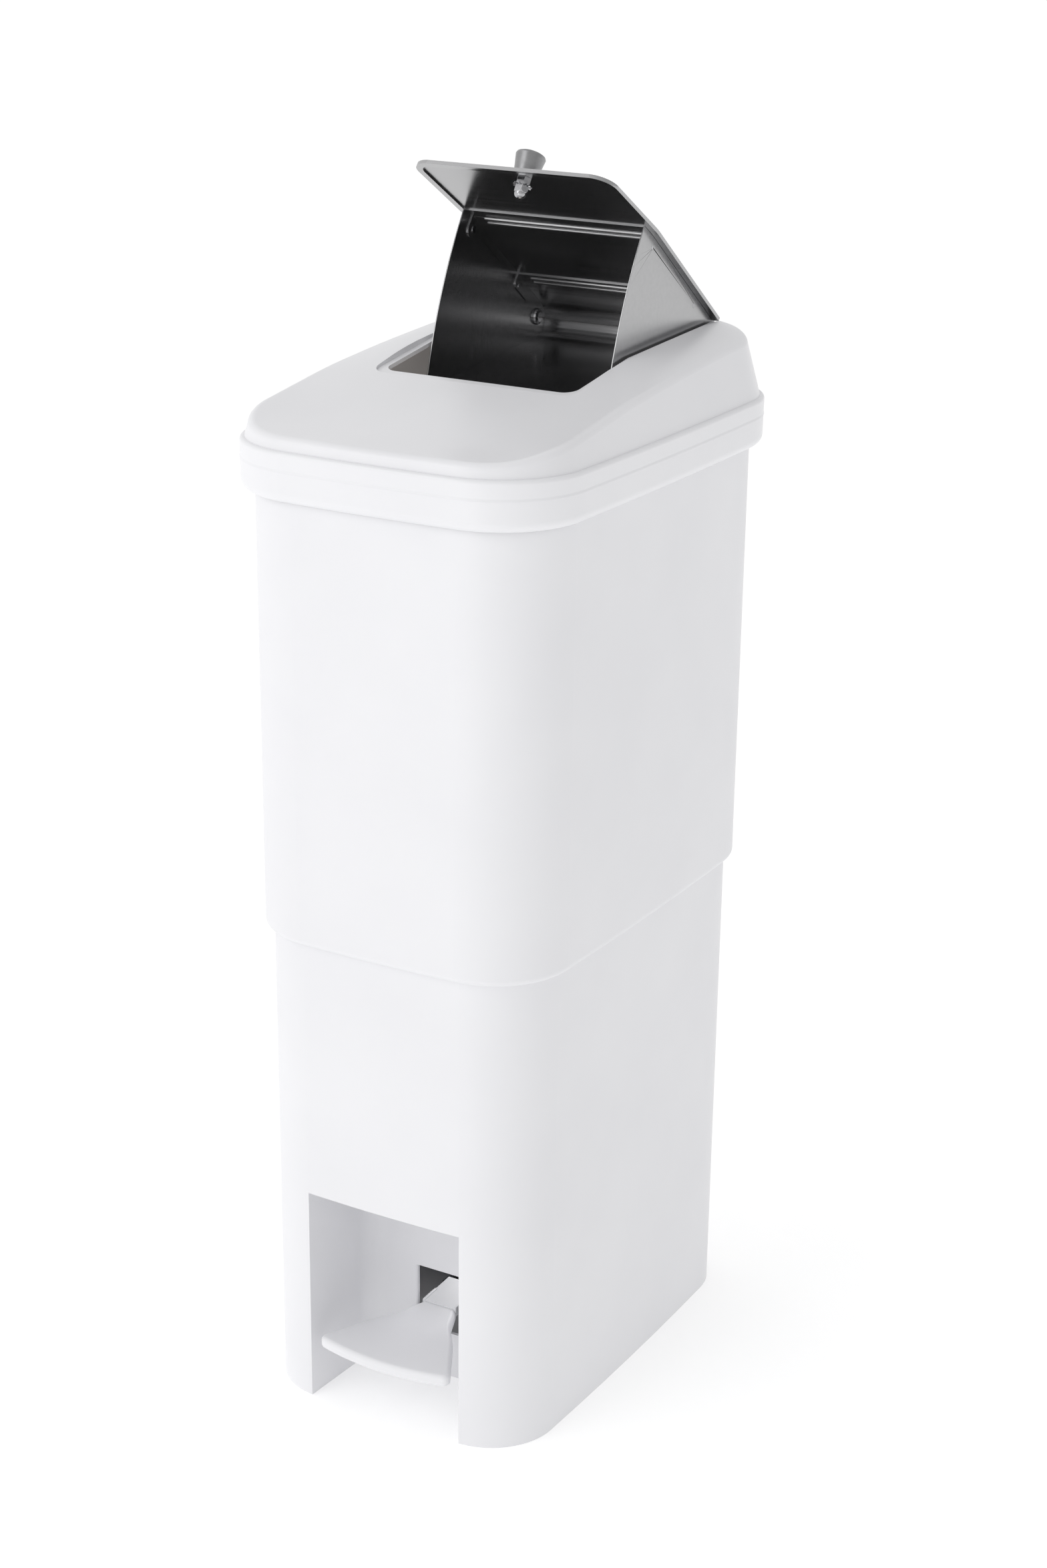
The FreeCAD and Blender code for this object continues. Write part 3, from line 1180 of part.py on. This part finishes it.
def make_bucket():
    """Removable inner bucket: drafted tub with a rolled rim."""
    half_width, half_depth = size("bucket_half_width"), size("bucket_half_depth")
    radius, wall = size("bucket_corner_radius"), size("bucket_wall")
    low = size("base_floor_height") + size("shell_wall") + 0.4
    high = low + size("bucket_height")
    taper = 4.0
    outer = bowed_loft([(half_width - taper, half_depth - taper, radius - taper, low),
                        (half_width, half_depth, radius, high)])
    outer = try_fillet(outer, 6.0, edges_where(outer, lambda p: abs(p.z - low) < 0.01))
    rim = bowed_loft([(half_width + 2, half_depth + 2, radius + 2, high - 3),
                      (half_width + 2, half_depth + 2, radius + 2, high)])
    rim = try_fillet(rim, 1.2, edges_where(rim, lambda p: abs(p.z - high) < 0.01))
    inner = bowed_loft([(half_width - taper - wall, half_depth - taper - wall, radius - taper - wall, low + wall),
                        (half_width - wall, half_depth - wall, radius - wall, high + 0.5)])
    inner = try_fillet(inner, 4.4, edges_where(inner, lambda p: abs(p.z - low - wall) < 0.01))
    add_shape("inner_bucket", outer.fuse(rim).cut(inner))


def make_collar_screws():
    """Screws from inside the base wall into the sleeve's collar."""
    screws = []
    for sign in (-1, 1):
        for depth in COLLAR_SCREW_DEPTHS:
            seat = Vector(sign * collar_seat(depth), depth, COLLAR_SCREW_HEIGHT)
            screws.append(screw(1.9, 3.6, 2.0, COLLAR_SCREW_LENGTH, seat, Vector(sign, 0, 0)))
    add_shape("collar_screws", Part.makeCompound(screws))


def collar_seat(depth):
    """Distance from the middle to the inside of the base wall at the collar screws."""
    half_width, half_depth, radius, height = body_section(COLLAR_SCREW_HEIGHT, -size("shell_wall"))
    wire = bowed_wire(half_width, half_depth, radius, height)
    line = Part.makeLine(Vector(0, depth, height), Vector(200, depth, height))
    return wire.distToShape(line)[1][0][0].x - 0.12


# ---------------------------------------------------------------- build and export

add_shape("base_shell", make_base_shell())
add_shape("upper_shell", make_sleeve())
add_shape("lid", make_lid())
add_shape("flap_plate", make_plate())
add_shape("left_cheek", make_cheek(-1))
add_shape("right_cheek", make_cheek(1).cut(crank_holes()))
add_shape("upper_panel", make_upper_panel().cut(rivet_holes(-1) + rivet_holes(1)))
add_shape("scoop_tray", make_scoop().cut(rivet_holes(-1) + rivet_holes(1)))
add_shape("cheek_rivets", make_rivets())
make_knob_parts()
make_pivot_parts()
make_crank_parts()
make_rod_parts()
make_guides()
make_pedal()
make_pedal_arm()
make_rear_arm()
make_shaft_parts()
make_bottom_plate()
make_bucket()
make_collar_screws()
doc.recompute()

NODES = ("base_shell", "upper_shell", "lid", "flap_plate", "left_cheek", "right_cheek", "upper_panel",
         "scoop_tray", "cheek_rivets", "knob", "knob_stud", "clamp_nut", "lock_washer", "acorn_nut",
         "left_pivot_bolt", "right_pivot_bolt", "left_pivot_bush", "right_pivot_bush", "pivot_nuts",
         "flap_crank", "crank_pin", "crank_rivets", "push_rod", "rod_yoke", "rod_clevis", "clevis_pin",
         "lower_rod_guide", "upper_rod_guide", "lower_guide_screws", "upper_guide_screws", "pedal",
         "pedal_arm", "pedal_screws", "rear_arm", "cross_shaft", "shaft_clips", "left_shaft_bracket",
         "right_shaft_bracket", "left_shaft_bush", "right_shaft_bush", "bracket_screws", "bottom_plate",
         "bottom_screws", "rubber_feet", "inner_bucket", "collar_screws")

for item in doc.Objects:
    if "Invalid" in item.State or "Error" in item.State:
        raise RuntimeError("failed feature: %s %s" % (item.Name, item.State))

os.makedirs("parts", exist_ok=True)
for name in NODES:
    item = doc.getObjectsByLabel(name)[0]
    shape = item.Shape
    if shape.isNull() or not shape.isValid():
        raise RuntimeError("bad shape: " + name)
    print("%-20s solids %d volume %.0f" % (name, len(shape.Solids), shape.Volume))
    shape.exportStep("parts/%s.step" % name)
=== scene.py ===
"""Looks of the pedal bin: studio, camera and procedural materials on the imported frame."""

import json
import math

import bmesh
import bpy
from mathutils import Matrix, Vector

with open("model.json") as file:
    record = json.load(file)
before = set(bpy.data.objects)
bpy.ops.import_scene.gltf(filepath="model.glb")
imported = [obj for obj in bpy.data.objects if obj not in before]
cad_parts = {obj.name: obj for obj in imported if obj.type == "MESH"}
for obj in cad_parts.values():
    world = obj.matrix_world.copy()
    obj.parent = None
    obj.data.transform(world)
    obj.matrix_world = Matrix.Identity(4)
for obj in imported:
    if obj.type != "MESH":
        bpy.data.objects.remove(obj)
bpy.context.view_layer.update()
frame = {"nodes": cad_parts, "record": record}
scene = bpy.context.scene


# ---------------------------------------------------------------- camera

def make_camera(place, yaw, pitch, roll, lens):
    """Camera at a place in metres; yaw to the left of +Y, pitch below level and roll in degrees."""
    yaw, pitch, roll = math.radians(yaw), math.radians(pitch), math.radians(roll)
    ahead = Vector((-math.sin(yaw) * math.cos(pitch), math.cos(yaw) * math.cos(pitch), -math.sin(pitch)))
    right = ahead.cross(Vector((0, 0, 1))).normalized()
    up = right.cross(ahead)
    turned_right = math.cos(roll) * right + math.sin(roll) * up
    turned_up = math.cos(roll) * up - math.sin(roll) * right
    data = bpy.data.cameras.new("camera")
    data.lens = lens
    data.sensor_width = 36.0
    data.sensor_fit = "AUTO"
    data.clip_end = 200.0
    camera = bpy.data.objects.new("camera", data)
    axes = Matrix((turned_right, turned_up, -ahead)).transposed().to_4x4()
    camera.matrix_world = Matrix.Translation(place) @ axes
    scene.collection.objects.link(camera)
    scene.camera = camera


CAMERA_PLACE = Vector((0.865, -1.484, 1.004))
CAMERA_YAW = 29.9
CAMERA_PITCH = 19.7
CAMERA_ROLL = 0.66
CAMERA_LENS = 65.29
make_camera(CAMERA_PLACE, CAMERA_YAW, CAMERA_PITCH, CAMERA_ROLL, CAMERA_LENS)
scene.view_settings.view_transform = "Standard"


# ---------------------------------------------------------------- materials

def new_material(name):
    """Empty node material with its Principled shader."""
    material = bpy.data.materials.new(name)
    material.use_nodes = True
    shader = material.node_tree.nodes["Principled BSDF"]
    return material, shader


def stretched_noise(material, scale, stretch, detail=3.0):
    """Noise in object space, stretched by different amounts along X, Y and Z."""
    nodes, links = material.node_tree.nodes, material.node_tree.links
    place = nodes.new("ShaderNodeTexCoord")
    mapping = nodes.new("ShaderNodeMapping")
    mapping.inputs["Scale"].default_value = stretch
    noise = nodes.new("ShaderNodeTexNoise")
    noise.inputs["Scale"].default_value = scale
    noise.inputs["Detail"].default_value = detail
    links.new(place.outputs["Object"], mapping.inputs["Vector"])
    links.new(mapping.outputs["Vector"], noise.inputs["Vector"])
    return noise


def vary_colour(material, shader, dark, light, scale, stretch=(1, 1, 1)):
    """Base colour that drifts between two shades."""
    noise = stretched_noise(material, scale, stretch)
    ramp = material.node_tree.nodes.new("ShaderNodeValToRGB")
    ramp.color_ramp.elements[0].position = 0.35
    ramp.color_ramp.elements[1].position = 0.65
    ramp.color_ramp.elements[0].color = (*dark, 1)
    ramp.color_ramp.elements[1].color = (*light, 1)
    material.node_tree.links.new(noise.outputs["Fac"], ramp.inputs["Fac"])
    material.node_tree.links.new(ramp.outputs["Color"], shader.inputs["Base Color"])


def vary_roughness(material, shader, low, high, scale, stretch=(1, 1, 1)):
    """Roughness that drifts between two values."""
    noise = stretched_noise(material, scale, stretch)
    spread = material.node_tree.nodes.new("ShaderNodeMapRange")
    spread.inputs["From Min"].default_value = 0.3
    spread.inputs["From Max"].default_value = 0.7
    spread.inputs["To Min"].default_value = low
    spread.inputs["To Max"].default_value = high
    material.node_tree.links.new(noise.outputs["Fac"], spread.inputs["Value"])
    material.node_tree.links.new(spread.outputs["Result"], shader.inputs["Roughness"])


def add_grain(material, shader, height, strength, scale, stretch=(1, 1, 1)):
    """Fine surface relief, its height in metres."""
    noise = stretched_noise(material, scale, stretch, 2.0)
    bump = material.node_tree.nodes.new("ShaderNodeBump")
    bump.inputs["Distance"].default_value = height
    bump.inputs["Strength"].default_value = strength
    material.node_tree.links.new(noise.outputs["Fac"], bump.inputs["Height"])
    material.node_tree.links.new(bump.outputs["Normal"], shader.inputs["Normal"])


def moulded_plastic(name, dark, light, rough=(0.34, 0.44)):
    """Satin injection-moulded plastic with a very fine spark-eroded grain."""
    material, shader = new_material(name)
    shader.inputs["IOR"].default_value = PLASTIC_IOR
    vary_colour(material, shader, dark, light, PLASTIC_SHADE_SCALE)
    vary_roughness(material, shader, rough[0], rough[1], PLASTIC_GLOSS_SCALE)
    add_grain(material, shader, FINE_GRAIN_HEIGHT, 0.06, PLASTIC_GRAIN_SCALE)
    return material


def sheet_steel(name, dark, light, rough, lines=(3, 420, 420)):
    """Stainless sheet with a fine rolled grain along X."""
    material, shader = new_material(name)
    shader.inputs["Metallic"].default_value = 1.0
    shader.inputs["Anisotropic"].default_value = 0.45
    vary_colour(material, shader, dark, light, 1.0, lines)
    vary_roughness(material, shader, rough[0], rough[1], 1.0, lines)
    add_grain(material, shader, FINE_GRAIN_HEIGHT, 0.05, ROLLED_GRAIN_SCALE, lines)
    return material


def bright_metal(name, dark, light, rough):
    """Turned or plated metal with faint cloudiness."""
    material, shader = new_material(name)
    shader.inputs["Metallic"].default_value = 1.0
    vary_colour(material, shader, dark, light, METAL_SHADE_SCALE)
    vary_roughness(material, shader, rough[0], rough[1], METAL_GLOSS_SCALE)
    add_grain(material, shader, METAL_GRAIN_HEIGHT, 0.1, METAL_GRAIN_SCALE)
    return material


# noise scales in object space: slow drifts of shade and gloss, and the moulded grain
PLASTIC_SHADE_SCALE = 9.0
PLASTIC_GLOSS_SCALE = 28.0
PLASTIC_GRAIN_SCALE = 1400.0
METAL_SHADE_SCALE = 220.0
METAL_GLOSS_SCALE = 400.0
METAL_GRAIN_SCALE = 900.0
ROLLED_GRAIN_SCALE = 1.6
FINE_GRAIN_HEIGHT = 0.00001
METAL_GRAIN_HEIGHT = 0.00002
PLASTIC_IOR = 1.49

WHITE = ((0.800, 0.800, 0.822), (0.822, 0.822, 0.842))
FINISHES = {
    "white_body": moulded_plastic("white_body_plastic", *WHITE),
    "white_lid": moulded_plastic("white_lid_plastic", *WHITE, rough=(0.28, 0.34)),
    "white_pedal": moulded_plastic("white_pedal_plastic", *WHITE, rough=(0.36, 0.46)),
    "stainless_sheet": sheet_steel("stainless_sheet_steel", (0.40, 0.40, 0.405), (0.43, 0.43, 0.435),
                                   (0.22, 0.26)),
    "knob_metal": bright_metal("knob_satin_metal", (0.27, 0.27, 0.275), (0.31, 0.31, 0.315), (0.30, 0.38)),
    "plated_fasteners": bright_metal("bright_zinc", (0.36, 0.36, 0.37), (0.46, 0.46, 0.47), (0.12, 0.20)),
    "zinc_plated_steel": bright_metal("dull_zinc", (0.38, 0.385, 0.39), (0.50, 0.50, 0.51), (0.30, 0.45)),
    "nylon": moulded_plastic("natural_nylon", (0.66, 0.65, 0.60), (0.72, 0.71, 0.66), (0.40, 0.50)),
    "grey_bucket": moulded_plastic("bucket_plastic", (0.20, 0.185, 0.165), (0.23, 0.215, 0.19), (0.45, 0.55)),
    "grey_bottom": moulded_plastic("bottom_plastic", (0.40, 0.40, 0.41), (0.44, 0.44, 0.45), (0.45, 0.55)),
    "black_rubber": moulded_plastic("foot_rubber", (0.018, 0.018, 0.018), (0.028, 0.028, 0.028), (0.7, 0.85)),
}

WELD_DISTANCE = 0.000002
SHARP_EDGE_DEGREES = 40
# radii in metres of edges that the solids leave sharp
EDGE_ROUNDING = {
    "flap_plate": 0.0007, "left_cheek": 0.0002, "right_cheek": 0.0002, "upper_panel": 0.0002,
    "scoop_tray": 0.0002, "pedal_arm": 0.0005, "rear_arm": 0.0005, "bottom_plate": 0.0005,
    "clamp_nut": 0.0002, "acorn_nut": 0.0002,
}

for subpart in frame["record"]["subparts"]:
    node = frame["nodes"][subpart["node"]]
    node.data.materials.clear()
    node.data.materials.append(FINISHES[subpart["material_slot"]])
    if subpart["node"] in EDGE_ROUNDING:
        weld = node.modifiers.new("weld", "WELD")
        weld.merge_threshold = WELD_DISTANCE
        bevel = node.modifiers.new("edge_rounding", "BEVEL")
        bevel.width = EDGE_ROUNDING[subpart["node"]]
        bevel.segments = 3
        bevel.limit_method = "ANGLE"
        bevel.angle_limit = math.radians(SHARP_EDGE_DEGREES)
        bevel.harden_normals = True


# ---------------------------------------------------------------- studio

def make_floor():
    """Wide white floor that runs out of the picture on every side."""
    mesh = bpy.data.meshes.new("floor")
    shape = bmesh.new()
    bmesh.ops.create_grid(shape, x_segments=8, y_segments=8, size=40.0)
    shape.to_mesh(mesh)
    shape.free()
    floor = bpy.data.objects.new("floor", mesh)
    scene.collection.objects.link(floor)
    material, shader = new_material("studio_floor")
    vary_colour(material, shader, (0.93, 0.93, 0.93), (0.94, 0.94, 0.94), 3.0)
    shader.inputs["Roughness"].default_value = 0.9
    shader.inputs["Specular IOR Level"].default_value = 0.1
    shader.inputs["Emission Color"].default_value = (1, 1, 1, 1)
    shader.inputs["Emission Strength"].default_value = 0.28
    mesh.materials.append(material)


def make_sky(strength_left, strength_right):
    """White surroundings, brighter on the left than on the right."""
    world = bpy.data.worlds.new("studio")
    world.use_nodes = True
    scene.world = world
    nodes, links = world.node_tree.nodes, world.node_tree.links
    place = nodes.new("ShaderNodeTexCoord")
    split = nodes.new("ShaderNodeSeparateXYZ")
    spread = nodes.new("ShaderNodeMapRange")
    spread.inputs["From Min"].default_value = -1.0
    spread.inputs["From Max"].default_value = 1.0
    spread.inputs["To Min"].default_value = strength_left
    spread.inputs["To Max"].default_value = strength_right
    links.new(place.outputs["Generated"], split.inputs["Vector"])
    links.new(split.outputs["X"], spread.inputs["Value"])
    links.new(spread.outputs["Result"], nodes["Background"].inputs["Strength"])
    nodes["Background"].inputs["Color"].default_value = (1, 1, 1, 1)


def make_softbox(name, place, target, width, power, colour=(1, 1, 1)):
    """Square area light at a place in metres, facing a target."""
    data = bpy.data.lights.new(name, "AREA")
    data.color = colour
    data.size = width
    data.energy = power
    light = bpy.data.objects.new(name, data)
    light.location = place
    light.rotation_euler = (Vector(target) - Vector(place)).to_track_quat("-Z", "Y").to_euler()
    scene.collection.objects.link(light)


make_floor()
DAYLIGHT_LEFT = 1.00
DAYLIGHT_RIGHT = 0.60
make_sky(DAYLIGHT_LEFT, DAYLIGHT_RIGHT)
make_softbox("key", (-1.1, -2.2, 1.9), (0, 0, 0.4), 1.6, 10.0)
make_softbox("low_fill", (-0.2, -2.4, 0.35), (0, -0.1, 0.1), 1.0, 3.0)
# the thin white walls let daylight through: these stand for it inside the body and behind the pedal slot
make_softbox("body_glow", (0, 0, 0.56), (0, 0, 0.70), 0.12, 0.05, (1.0, 0.93, 0.85))
make_softbox("base_glow", (0, -0.02, 0.10), (0, -0.10, 0.05), 0.05, 0.035)
